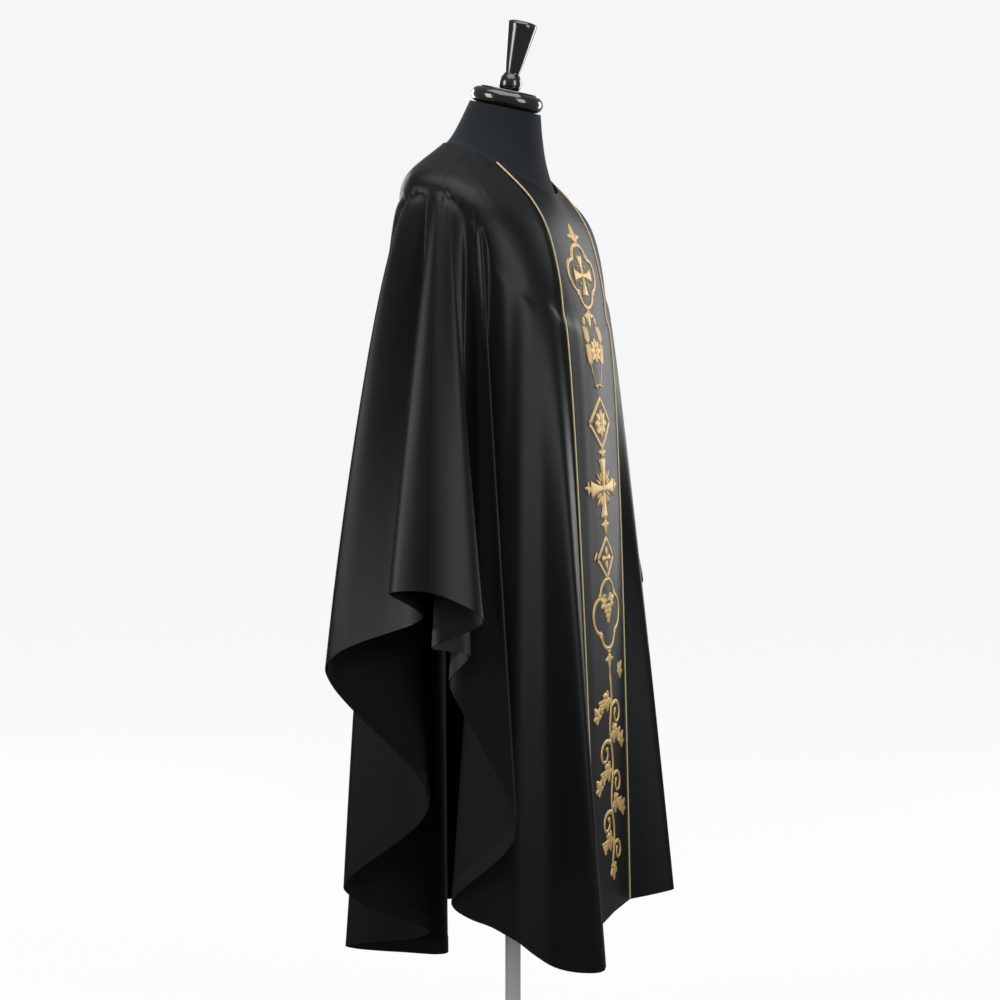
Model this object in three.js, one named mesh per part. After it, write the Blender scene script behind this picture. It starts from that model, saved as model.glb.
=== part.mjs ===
// Gothic chasuble worn by a limbless dress form on a pole.
// Millimetres, Z up. The origin is on the floor under the pole. The front faces -Y, and the
// wearer's right hand is towards -X.
import * as THREE from 'three';

// Cloth
const CLOTH = 1.5; // thickness of a satin panel
const BAND = 1.0; // thickness of the orphrey band
const PIPING_RADIUS = 1.7; // cord along each edge of the band
const SEAM = 0.3; // gap that sewn pieces keep
const SEAM_SIDE = 0.2; // how far each side of a seam is drawn in
const ON_FORM = 2.0; // gap between the curved cloth and form, less where their facets come close
const RAIL = 190; // how strongly a fold keeps its first direction as it leaves the form
const ON_FORM_STEPS = [0, 0.16, 0.32, 0.48, 0.63, 0.77, 0.89, 1];
const FALL_STEPS = 8;
const FALL_CROWDING = 1.35; // more steps near the shoulder than near the hem
const BOW_HEIGHT = 0.7; // below 1, a fold swells most above the middle of its fall
const COLUMN_WIDTH = 40; // cloth between two columns, measured at the hem
const COLUMN_TURN = 12; // degrees between two columns at the neckline, at most
const OPEN_TURN = 5; // least width of a turn of the cloth, one column from its tip
const OPENING_PASSES = 6;
const SHARP_TURN = -0.3; // cosine of the angle past which a turn counts as a sharp one

// Stand
const POLE_RADIUS = 12.5;
const BASE_RADIUS = 175;
const BASE_HEIGHT = 9;
const COLLAR_HEIGHT = 34;
const FIT = 0.3;
const TORSO_SIDES = 40;
const TORSO_STEPS = 3;

// The form, ring by ring from the top of the neck. A ring is given by its front, side and back.
// The rings tilt, so that they follow the neckline and the shoulders. chest and blade say how much
// fuller than an oval the ring is, between its front and side and between its side and back.
const FORM_RINGS = [
  { name: 'neck top', frontY: -42, frontZ: 1581, sideX: 57, sideY: 14, sideZ: 1594, backY: 70, backZ: 1607, chest: 0, blade: 0 },
  { name: 'neck', frontY: -46, frontZ: 1541, sideX: 62, sideY: 24, sideZ: 1563, backY: 88, backZ: 1572, chest: 0, blade: 0 },
  { name: 'neck base', frontY: -53, frontZ: 1498, sideX: 70, sideY: 30, sideZ: 1538, backY: 101, backZ: 1549, chest: 0, blade: 0 },
  { name: 'neckline', frontY: -67, frontZ: 1454, sideX: 85, sideY: 33, sideZ: 1518, backY: 111, backZ: 1534, chest: 0, blade: 0 },
  { name: 'yoke', frontY: -83, frontZ: 1423, sideX: 145, sideY: 28, sideZ: 1490, backY: 122, backZ: 1502, chest: 0.02, blade: 0.09 },
  { name: 'shoulder', frontY: -96, frontZ: 1393, sideX: 193, sideY: 22, sideZ: 1464, backY: 127, backZ: 1468, chest: 0.04, blade: 0.15 },
  { name: 'arm top', frontY: -107, frontZ: 1358, sideX: 207, sideY: 18, sideZ: 1430, backY: 129, backZ: 1428, chest: 0.06, blade: 0.16 },
  { name: 'arm', frontY: -119, frontZ: 1306, sideX: 204, sideY: 14, sideZ: 1374, backY: 126, backZ: 1376, chest: 0.08, blade: 0.13 },
  { name: 'chest', frontY: -127, frontZ: 1243, sideX: 193, sideY: 8, sideZ: 1293, backY: 116, backZ: 1298, chest: 0.09, blade: 0.08 },
  { name: 'ribs', frontY: -121, frontZ: 1160, sideX: 176, sideY: 2, sideZ: 1190, backY: 102, backZ: 1200, chest: 0.05, blade: 0.03 },
  { name: 'waist', frontY: -106, frontZ: 1055, sideX: 150, sideY: -2, sideZ: 1065, backY: 86, backZ: 1075, chest: 0.02, blade: 0 },
  { name: 'hips', frontY: -114, frontZ: 915, sideX: 172, sideY: 2, sideZ: 920, backY: 112, backZ: 930, chest: 0, blade: 0 },
  { name: 'lower edge', frontY: -104, frontZ: 792, sideX: 163, sideY: 2, sideZ: 792, backY: 106, backZ: 792, chest: 0, blade: 0 },
  { name: 'underside', frontY: -92, frontZ: 782, sideX: 152, sideY: 2, sideZ: 782, backY: 95, backZ: 782, chest: 0, blade: 0 },
];
const NECKLINE = 3; // place in the list of the ring that the neckline lies on
const FIRST_LEAVING = 4.6; // the highest and lowest places where a fold may leave the form
const LAST_LEAVING = 8.2;

// The cloth, fold by fold from the front centre round the wearer's right side to the back centre.
// neck and leave are turns round the form in degrees, at the neckline and where the fold leaves the
// form. x, y and z are its end at the hem, and bow is how far it swells on the way down.
// leftY and leftZ are the same fold's y and z on the wearer's left side.
const FOLDS = [
  { name: 'front centre', neck: 0, leave: 0, x: 0, y: -176, z: 319, leftY: -176, leftZ: 319, bow: 12 },
  { name: 'band edge', neck: 63.3, leave: 22.8, x: 78, y: -178, z: 308, leftY: -170, leftZ: 319, bow: 10 },
  { name: 'orphrey edge', neck: 66, leave: 24, x: 82, y: -178, z: 307, leftY: -170, leftZ: 319, bow: 10 },
  { name: 'front ridge', neck: 70, leave: 33, x: 135, y: -216, z: 264, leftY: -228, leftZ: 330, bow: 7 },
  { name: 'front hollow', neck: 74, leave: 42, x: 158, y: -142, z: 266, leftY: -150, leftZ: 322, bow: 8 },
  { name: 'soft ridge', neck: 77, leave: 49, x: 203, y: -98, z: 313, leftY: -112, leftZ: 348, bow: 6 },
  { name: 'soft hollow', neck: 79, leave: 55, x: 213, y: -59, z: 333, leftY: -66, leftZ: 362, bow: 4 },
  { name: 'first turn', neck: 81, leave: 61, x: 225, y: -2, z: 360, leftY: -9, leftZ: 391, bow: 0 },
  { name: 'long ridge', neck: 83, leave: 66, x: 251, y: -121, z: 493, leftY: -129, leftZ: 509, bow: 10 },
  { name: 'ridge flank', neck: 84, leave: 70, x: 269, y: -62, z: 638, leftY: -70, leftZ: 650, bow: 5 },
  { name: 'lobe', neck: 85, leave: 74, x: 287, y: -28, z: 718, leftY: -32, leftZ: 728, bow: 2 },
  { name: 'hidden turn', neck: 86, leave: 77.5, x: 291, y: -63, z: 759, leftY: -69, leftZ: 763, bow: 8 },
  { name: 'tuck', neck: 87, leave: 81, x: 332, y: -21, z: 774, leftY: -25, leftZ: 777, bow: 11 },
  { name: 'dark ridge', neck: 88, leave: 84.5, x: 315, y: -96, z: 812, leftY: -100, leftZ: 810, bow: 15 },
  { name: 'wing ridge', neck: 89.3, leave: 88.3, x: 347, y: -85, z: 840, leftY: -80, leftZ: 834, bow: 17 },
  { name: 'shoulder seam', neck: 91, leave: 92, x: 385, y: -41, z: 863, leftY: -42, leftZ: 855, bow: 18 },
  { name: 'wing back', neck: 94, leave: 97, x: 389, y: 18, z: 858, leftY: 22, leftZ: 852, bow: 14 },
  { name: 'wing tuck', neck: 96, leave: 103, x: 328, y: -6, z: 820, leftY: 0, leftZ: 817, bow: 4 },
  { name: 'wing point', neck: 101, leave: 112, x: 315, y: 167, z: 730, leftY: 158, leftZ: 738, bow: 36 },
  { name: 'second tuck', neck: 107, leave: 119, x: 227, y: 38, z: 520, leftY: 46, leftZ: 530, bow: 14 },
  { name: 'back ridge', neck: 115, leave: 128, x: 207, y: 195, z: 360, leftY: 186, leftZ: 372, bow: 16 },
  { name: 'third tuck', neck: 124, leave: 138, x: 137, y: 82, z: 290, leftY: 92, leftZ: 296, bow: 8 },
  { name: 'last ridge', neck: 136, leave: 148, x: 137, y: 235, z: 249, leftY: 224, leftZ: 255, bow: 6 },
  { name: 'back slope', neck: 154, leave: 161, x: 62, y: 168, z: 228, leftY: 176, leftZ: 232, bow: 2 },
  { name: 'back centre', neck: 180, leave: 180, x: 0, y: 118, z: 217, leftY: 118, leftZ: 217, bow: 0 },
];

const SATIN = { color: 0x0b0d10, roughness: 0.38, metalness: 0 };
const GOLD = { color: 0xc9a860, roughness: 0.45, metalness: 0.2 };
const JERSEY = { color: 0x1c2124, roughness: 0.95, metalness: 0 };
const TURNED_WOOD = { color: 0x0a0a0a, roughness: 0.2, metalness: 0 };
const STEEL = { color: 0xbec0ba, roughness: 0.35, metalness: 0.8 };

const radians = THREE.MathUtils.degToRad;

// A smooth curve through values at uneven places
function through(places, values, place) {
  const last = places.length - 1;
  let i = 0;
  while (i < last - 1 && place > places[i + 1]) i += 1;
  const rate = (a, b) => (values[b] - values[a]) / (places[b] - places[a]);
  const slope = (k) => {
    if (k === 0) return rate(0, 1);
    if (k === last) return rate(last - 1, last);
    return rate(k - 1, k) - rate(k - 1, k + 1) + rate(k, k + 1);
  };
  const width = places[i + 1] - places[i];
  const t = (place - places[i]) / width;
  const rise = t * t * (3 - 2 * t);
  return values[i] * (1 - rise) + values[i + 1] * rise
    + width * t * (1 - t) * ((1 - t) * slope(i) - t * slope(i + 1));
}

const RING_PLACES = FORM_RINGS.map((_, i) => i);

function ringValue(key, ring) {
  return through(RING_PLACES, FORM_RINGS.map((row) => row[key]), ring);
}

// A point of the form: turn in degrees from the front, and ring as a place in the list of rings
function formPoint(turn, ring) {
  const c = Math.cos(radians(turn));
  const s = Math.sin(radians(turn));
  const across = (front, side, back) => {
    const middle = (front + back) / 2;
    return middle - (back - front) / 2 * c + (side - middle) * s * s;
  };
  const frontY = ringValue('frontY', ring);
  const backY = ringValue('backY', ring);
  const middle = (frontY + backY) / 2;
  const fullness = 1 + ringValue(c > 0 ? 'chest' : 'blade', ring) * (2 * s * c) ** 2;
  return new THREE.Vector3(
    -ringValue('sideX', ring) * s * fullness,
    middle + (across(frontY, ringValue('sideY', ring), backY) - middle) * fullness,
    across(ringValue('frontZ', ring), ringValue('sideZ', ring), ringValue('backZ', ring)),
  );
}

function formNormal(turn, ring) {
  const down = formPoint(turn, ring + 0.02).sub(formPoint(turn, ring - 0.02));
  const around = formPoint(turn + 0.5, ring).sub(formPoint(turn - 0.5, ring));
  return around.cross(down).normalize();
}

// The middle of the cloth where it lies on the form
function onForm(turn, ring) {
  return formPoint(turn, ring).addScaledVector(formNormal(turn, ring), ON_FORM + CLOTH / 2);
}

// How far down the form a fold lies on it: to where it can fall straight to its hem
function leavingRing(turn, hem) {
  let ring = FIRST_LEAVING;
  while (ring < LAST_LEAVING && hem.clone().sub(onForm(turn, ring)).dot(formNormal(turn, ring)) < 0) ring += 0.05;
  return ring;
}

// The folds of both sides, in one ring: front, wearer's right, back, wearer's left
function ringOfFolds() {
  const right = FOLDS.map((fold) => ({ ...fold, x: -fold.x }));
  const left = FOLDS.slice(1, -1).reverse().map((fold) => ({
    ...fold, neck: 360 - fold.neck, leave: 360 - fold.leave, y: fold.leftY, z: fold.leftZ,
  }));
  return [...right, ...left, { ...right[0], neck: 360, leave: 360 }];
}

// Where each fold comes in the ring: folds far apart at the hem are far apart here
function foldPlaces(folds) {
  const places = [0];
  for (let i = 1; i < folds.length; i += 1) {
    const a = folds[i - 1];
    const b = folds[i];
    places.push(places[i - 1] + Math.sqrt(Math.hypot(a.x - b.x, a.y - b.y, a.z - b.z)));
  }
  return places;
}

// One column of the cloth, from the neckline down over the form and on to the hem
function column(fold) {
  const points = [];
  const hem = new THREE.Vector3(fold.x, fold.y, fold.z);
  const leavingAt = leavingRing(fold.leave, hem);
  const reach = (ring) => ringValue('sideX', ring);
  const neckReach = reach(NECKLINE);
  const leaveReach = reach(leavingAt);
  const turnAt = (t) => {
    const own = reach(ringAt(t));
    const along = (own - neckReach) / (leaveReach - neckReach);
    const x = THREE.MathUtils.lerp(neckReach * Math.sin(radians(fold.neck)), leaveReach * Math.sin(radians(fold.leave)), along);
    const turn = THREE.MathUtils.radToDeg(Math.asin(THREE.MathUtils.clamp(x / own, -1, 1)));
    return Math.cos(radians(fold.leave)) > 0 ? turn : 180 - turn;
  };
  const ringAt = (t) => THREE.MathUtils.lerp(NECKLINE, leavingAt, t);
  for (const t of ON_FORM_STEPS) points.push(onForm(turnAt(t), ringAt(t)));
  const leave = points[points.length - 1];
  const start = leave.clone().sub(onForm(turnAt(0.97), ringAt(0.97))).normalize().multiplyScalar(RAIL);
  const chord = hem.clone().sub(leave);
  const outward = new THREE.Vector3(fold.x, fold.y, 0).normalize();
  for (let i = 1; i <= FALL_STEPS; i += 1) {
    const t = (i / FALL_STEPS) ** FALL_CROWDING;
    const rise = t * t * (3 - 2 * t);
    const point = leave.clone().lerp(hem, rise);
    point.addScaledVector(start, t * (1 - t) * (1 - t));
    point.addScaledVector(chord, -t * t * (1 - t));
    point.addScaledVector(outward, fold.bow * Math.sin(Math.PI * t ** BOW_HEIGHT));
    points.push(point);
  }
  return points;
}

// All columns, each with the place of its fold in the ring
function clothGrid() {
  const folds = ringOfFolds();
  const places = foldPlaces(folds);
  const columns = [];
  for (let i = 0; i < folds.length - 1; i += 1) {
    const gap = Math.hypot(folds[i].x - folds[i + 1].x, folds[i].y - folds[i + 1].y, folds[i].z - folds[i + 1].z);
    const neckGap = folds[i + 1].neck - folds[i].neck;
    const steps = Math.max(2, Math.round(gap / COLUMN_WIDTH), Math.ceil(neckGap / COLUMN_TURN));
    for (let k = 0; k < steps; k += 1) {
      const place = THREE.MathUtils.lerp(places[i], places[i + 1], k / steps);
      const fold = {
        neck: THREE.MathUtils.lerp(folds[i].neck, folds[i + 1].neck, k / steps),
        leave: THREE.MathUtils.lerp(folds[i].leave, folds[i + 1].leave, k / steps),
      };
      for (const key of ['x', 'y', 'z', 'bow']) {
        fold[key] = through(places, folds.map((row) => row[key]), place);
      }
      columns.push({ name: k === 0 ? folds[i].name : '', points: column(fold) });
    }
  }
  for (let pass = 0; pass < OPENING_PASSES; pass += 1) openTurns(columns);
  return columns;
}

// The cloth on both sides of a sharp turn is moved apart where it would lie closer than OPEN_TURN
function openTurns(columns) {
  const count = columns.length;
  const at = (c, level) => columns[(c + count) % count].points[level];
  for (let level = ON_FORM_STEPS.length; level < columns[0].points.length - 1; level += 1) {
    for (let c = 0; c < count; c += 1) {
      const before = at(c - 1, level);
      const after = at(c + 1, level);
      const arriving = at(c, level).clone().sub(before).normalize();
      const going = after.clone().sub(at(c, level)).normalize();
      const onward = at(c + 3, level).clone().sub(at(c - 3, level)).normalize();
      const lack = OPEN_TURN - after.clone().sub(before).dot(onward);
      if (arriving.dot(going) < SHARP_TURN && lack > 0) {
        before.addScaledVector(onward, -lack / 2);
        after.addScaledVector(onward, lack / 2);
      }
    }
  }
}

// Outward directions of the cloth at its columns
function clothNormals(columns) {
  const count = columns.length;
  return columns.map((_, c) => {
    const before = columns[(c + count - 1) % count].points;
    const after = columns[(c + 1) % count].points;
    const own = columns[c].points;
    return own.map((point, level) => {
      const down = own[Math.min(level + 1, own.length - 1)].clone().sub(own[Math.max(level - 1, 0)]);
      const arriving = point.clone().sub(before[level]).projectOnPlane(down).normalize();
      const going = after[level].clone().sub(point).projectOnPlane(down).normalize();
      return arriving.add(going).cross(down).normalize();
    });
  });
}

function meshFromFaces(points, faces, finish, name) {
  const geometry = new THREE.BufferGeometry();
  geometry.setAttribute('position', new THREE.Float32BufferAttribute(points.flatMap((p) => [p.x, p.y, p.z]), 3));
  geometry.setIndex(faces.flat());
  geometry.computeVertexNormals();
  const mesh = new THREE.Mesh(geometry, new THREE.MeshStandardMaterial(finish));
  mesh.name = name;
  return mesh;
}

// A wall of cloth on columns of middle points: outer face, inner face and four edges
function wall(columns, normals, thickness, finish, name) {
  const width = columns.length;
  const height = columns[0].length;
  const points = [];
  for (const side of [0.5, -0.5]) {
    for (let c = 0; c < width; c += 1) {
      for (let level = 0; level < height; level += 1) {
        points.push(columns[c][level].clone().addScaledVector(normals[c][level], side * thickness));
      }
    }
  }
  const outer = (c, level) => c * height + level;
  const inner = (c, level) => width * height + outer(c, level);
  const faces = [];
  const quad = (a, b, c, d) => faces.push([a, b, c], [a, c, d]);
  for (let c = 0; c < width - 1; c += 1) {
    for (let level = 0; level < height - 1; level += 1) {
      quad(outer(c, level), outer(c + 1, level), outer(c + 1, level + 1), outer(c, level + 1));
      quad(inner(c, level), inner(c, level + 1), inner(c + 1, level + 1), inner(c + 1, level));
    }
    quad(outer(c + 1, 0), outer(c, 0), inner(c, 0), inner(c + 1, 0));
    quad(outer(c, height - 1), outer(c + 1, height - 1), inner(c + 1, height - 1), inner(c, height - 1));
  }
  for (let level = 0; level < height - 1; level += 1) {
    quad(outer(0, level), outer(0, level + 1), inner(0, level + 1), inner(0, level));
    quad(outer(width - 1, level + 1), outer(width - 1, level), inner(width - 1, level), inner(width - 1, level + 1));
  }
  return meshFromFaces(points, faces, finish, name);
}

// A stretch of the ring of columns, with its ends drawn in by half a seam's gap
function panel(columns, normals, first, last, finish, name) {
  const count = columns.length;
  const picked = [];
  const directions = [];
  for (let c = first; c <= last; c += 1) {
    picked.push(columns[c % count].points.map((point) => point.clone()));
    directions.push(normals[c % count]);
  }
  const drawIn = (edge, next) => edge.forEach((point, level) => {
    point.addScaledVector(next[level].clone().sub(point).normalize(), SEAM_SIDE);
  });
  drawIn(picked[0], picked[1]);
  drawIn(picked[picked.length - 1], picked[picked.length - 2]);
  return wall(picked, directions, CLOTH, finish, name);
}

// The band lies on the front panel, between the cords along its two edge folds
function orphreyBand(columns, normals, first, last) {
  const count = columns.length;
  const lift = CLOTH / 2 + SEAM + BAND / 2;
  const picked = [];
  const directions = [];
  for (let c = first; c <= last; c += 1) {
    const own = (c + count) % count;
    picked.push(columns[own].points.map((point, level) => point.clone().addScaledVector(normals[own][level], lift)));
    directions.push(normals[own]);
  }
  return wall(picked, directions, BAND, SATIN, 'orphrey_band');
}

// A cord sewn along one fold, clear of the cloth on both sides of it
function piping(columns, normals, fold, name) {
  const count = columns.length;
  const own = columns[fold].points;
  const before = columns[(fold + count - 1) % count].points;
  const sides = 6;
  const points = [];
  own.forEach((point, level) => {
    const out = normals[fold][level];
    const down = own[Math.min(level + 1, own.length - 1)].clone().sub(own[Math.max(level - 1, 0)]).normalize();
    const across = down.clone().cross(out).normalize();
    const flank = before[level].clone().sub(point).normalize();
    const slope = Math.sqrt(1 - flank.dot(out) ** 2);
    const middle = point.clone().addScaledVector(out, (CLOTH / 2 + SEAM + PIPING_RADIUS) / slope);
    for (let k = 0; k < sides; k += 1) {
      const turn = 2 * Math.PI * k / sides;
      points.push(middle.clone()
        .addScaledVector(out, PIPING_RADIUS * Math.cos(turn))
        .addScaledVector(across, PIPING_RADIUS * Math.sin(turn)));
    }
  });
  return meshFromFaces(points, tubeFaces(own.length, sides), GOLD, name);
}

// Faces of a closed tube of rings, with a fan on its first and last ring
function tubeFaces(rings, sides) {
  const faces = [];
  const at = (ring, k) => ring * sides + (k % sides);
  for (let ring = 0; ring < rings - 1; ring += 1) {
    for (let k = 0; k < sides; k += 1) {
      faces.push([at(ring, k), at(ring, k + 1), at(ring + 1, k + 1)], [at(ring, k), at(ring + 1, k + 1), at(ring + 1, k)]);
    }
  }
  for (let k = 1; k < sides - 1; k += 1) {
    faces.push([at(0, 0), at(0, k + 1), at(0, k)]);
    faces.push([at(rings - 1, 0), at(rings - 1, k), at(rings - 1, k + 1)]);
  }
  return faces;
}

function torso() {
  const points = [];
  const rings = (FORM_RINGS.length - 1) * TORSO_STEPS + 1;
  for (let i = 0; i < rings; i += 1) {
    for (let k = 0; k < TORSO_SIDES; k += 1) {
      points.push(formPoint(360 * k / TORSO_SIDES, i / TORSO_STEPS));
    }
  }
  return meshFromFaces(points, tubeFaces(rings, TORSO_SIDES), JERSEY, 'form_torso');
}

// A turned piece on its own axis, from a profile of radius and height
function turned(profile, sides, finish, name) {
  const geometry = new THREE.LatheGeometry(profile.map(([r, z]) => new THREE.Vector2(r, z)), sides);
  geometry.rotateX(Math.PI / 2);
  const mesh = new THREE.Mesh(geometry, new THREE.MeshStandardMaterial(finish));
  mesh.name = name;
  return mesh;
}

// Cap
const CAP_RADIUS = 58;
const CAP_THICKNESS = 25;
const CAP_TOP_RADIUS = 45;
const CAP_TOP = 2.5;
const FINIAL = [[0, 0], [14, 0], [17.5, 5], [18, 12], [15, 21], [11.5, 26], [13, 30], [23.4, 101], [20, 106], [0, 109]];

function capProfile() {
  const edge = CAP_THICKNESS / 2;
  const profile = [[0, 0], [CAP_RADIUS - edge, 0]];
  for (let k = 1; k < 6; k += 1) {
    const turn = Math.PI * k / 6;
    profile.push([CAP_RADIUS - edge + edge * Math.sin(turn), edge - edge * Math.cos(turn)]);
  }
  profile.push([CAP_RADIUS - edge, CAP_THICKNESS]);
  profile.push([CAP_TOP_RADIUS - 1, CAP_THICKNESS + CAP_TOP], [0, CAP_THICKNESS + CAP_TOP]);
  return profile;
}

function chasuble() {
  const columns = clothGrid();
  const normals = clothNormals(columns);
  const count = columns.length;
  const named = (name) => columns.flatMap((entry, c) => (entry.name === name ? [c] : []));
  const [rightSeam, leftSeam] = named('shoulder seam');
  const [rightCord, leftCord] = named('orphrey edge');
  const [rightEdge, leftEdge] = named('band edge');
  const group = new THREE.Group();
  group.add(panel(columns, normals, leftSeam, rightSeam + count, SATIN, 'front_panel'));
  group.add(panel(columns, normals, rightSeam, leftSeam, SATIN, 'back_panel'));
  group.add(orphreyBand(columns, normals, leftEdge - count, rightEdge));
  group.add(piping(columns, normals, rightCord, 'piping_right'));
  group.add(piping(columns, normals, leftCord, 'piping_left'));
  return group;
}

function dressForm() {
  const neck = FORM_RINGS[0];
  const lowest = FORM_RINGS[FORM_RINGS.length - 1].sideZ;
  const group = new THREE.Group();
  group.add(torso());
  const top = new THREE.Group();
  top.position.set(0, neck.sideY, neck.sideZ + FIT);
  top.rotation.x = Math.atan2(neck.backZ - neck.frontZ, neck.backY - neck.frontY);
  const cap = turned(capProfile(), 40, TURNED_WOOD, 'neck_cap');
  const finial = turned(FINIAL, 28, TURNED_WOOD, 'neck_finial');
  finial.position.z = CAP_THICKNESS + CAP_TOP + FIT;
  top.add(cap, finial);
  group.add(top);
  const poleLength = lowest - FIT - BASE_HEIGHT - FIT;
  const pole = turned([[0, 0], [POLE_RADIUS, 0], [POLE_RADIUS, poleLength], [0, poleLength]], 28, STEEL, 'pole');
  pole.position.z = BASE_HEIGHT + FIT;
  const bore = POLE_RADIUS + FIT;
  const collar = turned([
    [bore, 0], [bore + 18, 0], [bore + 17, 6], [bore + 8, 16], [bore + 6, COLLAR_HEIGHT], [bore, COLLAR_HEIGHT], [bore, 0],
  ], 28, STEEL, 'base_collar');
  collar.position.z = BASE_HEIGHT + FIT;
  const base = turned([
    [0, 0], [BASE_RADIUS - 1, 0], [BASE_RADIUS, 1], [BASE_RADIUS, 5], [BASE_RADIUS - 6, BASE_HEIGHT], [0, BASE_HEIGHT],
  ], 48, STEEL, 'base_plate');
  group.add(pole, collar, base);
  return group;
}

const model = new THREE.Group();
model.add(chasuble(), dressForm());

export default model;
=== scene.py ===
# Gothic chasuble on a dress form: the cloth, its embroidered orphrey, the form and its stand.
import math
import random
from functools import lru_cache

import bpy
import numpy as np
from mathutils import Matrix, Vector


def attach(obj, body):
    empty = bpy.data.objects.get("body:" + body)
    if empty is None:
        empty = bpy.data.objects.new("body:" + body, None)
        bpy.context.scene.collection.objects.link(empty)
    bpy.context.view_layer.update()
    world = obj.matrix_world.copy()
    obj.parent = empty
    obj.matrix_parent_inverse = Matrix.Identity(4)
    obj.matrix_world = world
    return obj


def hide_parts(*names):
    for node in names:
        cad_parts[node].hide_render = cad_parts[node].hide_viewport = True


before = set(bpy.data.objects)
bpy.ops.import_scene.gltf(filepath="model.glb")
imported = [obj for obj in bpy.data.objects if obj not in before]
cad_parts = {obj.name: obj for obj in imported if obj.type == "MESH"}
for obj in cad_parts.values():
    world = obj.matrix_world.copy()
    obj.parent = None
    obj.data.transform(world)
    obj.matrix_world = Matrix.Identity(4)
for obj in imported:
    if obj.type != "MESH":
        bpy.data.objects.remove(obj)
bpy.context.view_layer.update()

bl_info = {
    "name": "Gothic Chasuble on a Dress Form",
    "version": (1, 0, 0),
    "blender": (4, 5, 0),
    "location": "View3D > Sidebar > Chasuble",
    "description": "Drapes an embroidered chasuble over a dress form on its stand",
    "category": "Object",
}

MM = 0.001

# The form, ring by ring from the top of the neck, in millimetres
RING_COLUMNS = ("frontY", "frontZ", "sideX", "sideY", "sideZ", "backY", "backZ", "chest", "blade")
FORM_RINGS = (
    ("neck top", -42, 1581, 57, 14, 1594, 70, 1607, 0, 0),
    ("neck", -46, 1541, 62, 24, 1563, 88, 1572, 0, 0),
    ("neck base", -53, 1498, 70, 30, 1538, 101, 1549, 0, 0),
    ("neckline", -67, 1454, 85, 33, 1518, 111, 1534, 0, 0),
    ("yoke", -83, 1423, 145, 28, 1490, 122, 1502, 0.02, 0.09),
    ("shoulder", -96, 1393, 193, 22, 1464, 127, 1468, 0.04, 0.15),
    ("arm top", -107, 1358, 207, 18, 1430, 129, 1428, 0.06, 0.16),
    ("arm", -119, 1306, 204, 14, 1374, 126, 1376, 0.08, 0.13),
    ("chest", -127, 1243, 193, 8, 1293, 116, 1298, 0.09, 0.08),
    ("ribs", -121, 1160, 176, 2, 1190, 102, 1200, 0.05, 0.03),
    ("waist", -106, 1055, 150, -2, 1065, 86, 1075, 0.02, 0),
    ("hips", -114, 915, 172, 2, 920, 112, 930, 0, 0),
    ("lower edge", -104, 792, 163, 2, 792, 106, 792, 0, 0),
    ("underside", -92, 782, 152, 2, 782, 95, 782, 0, 0),
)
NECKLINE = 3
FIRST_LEAVING = 4.6
LAST_LEAVING = 8.2

# The cloth, fold by fold from the front centre round the wearer's right side to the back centre
FOLD_COLUMNS = ("neck", "leave", "x", "y", "z", "leftY", "leftZ", "bow")
FOLDS = (
    ("front centre", 0, 0, 0, -176, 319, -176, 319, 12),
    ("band edge", 63.3, 22.8, 78, -178, 308, -170, 319, 10),
    ("orphrey edge", 66, 24, 82, -178, 307, -170, 319, 10),
    ("front ridge", 70, 33, 135, -216, 264, -228, 330, 7),
    ("front hollow", 74, 42, 158, -142, 266, -150, 322, 8),
    ("soft ridge", 77, 49, 203, -98, 313, -112, 348, 6),
    ("soft hollow", 79, 55, 213, -59, 333, -66, 362, 4),
    ("first turn", 81, 61, 225, -2, 360, -9, 391, 0),
    ("long ridge", 83, 66, 251, -121, 493, -129, 509, 10),
    ("ridge flank", 84, 70, 269, -62, 638, -70, 650, 5),
    ("lobe", 85, 74, 287, -28, 718, -32, 728, 2),
    ("hidden turn", 86, 77.5, 291, -63, 759, -69, 763, 8),
    ("tuck", 87, 81, 332, -21, 774, -25, 777, 11),
    ("dark ridge", 88, 84.5, 315, -96, 812, -100, 810, 15),
    ("wing ridge", 89.3, 88.3, 347, -85, 840, -80, 834, 17),
    ("shoulder seam", 91, 92, 385, -41, 863, -42, 855, 18),
    ("wing back", 94, 97, 389, 18, 858, 22, 852, 14),
    ("wing tuck", 96, 103, 328, -6, 820, 0, 817, 4),
    ("wing point", 101, 112, 315, 167, 730, 158, 738, 36),
    ("second tuck", 107, 119, 227, 38, 520, 46, 530, 14),
    ("back ridge", 115, 128, 207, 195, 360, 186, 372, 16),
    ("third tuck", 124, 138, 137, 82, 290, 92, 296, 8),
    ("last ridge", 136, 148, 137, 235, 249, 224, 255, 6),
    ("back slope", 154, 161, 62, 168, 228, 176, 232, 2),
    ("back centre", 180, 180, 0, 118, 217, 118, 217, 0),
)

CLOTH = 1.5
ON_FORM = 2.0
RAIL = 190.0
ON_FORM_STEPS = (0, 0.16, 0.32, 0.48, 0.63, 0.77, 0.89, 1)
FALL_STEPS = 8
FALL_CROWDING = 1.35
BOW_HEIGHT = 0.7
COLUMN_WIDTH = 40.0
COLUMN_TURN = 12.0
OPEN_TURN = 5.0
OPENING_PASSES = 6
SHARP_TURN = -0.3


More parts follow.
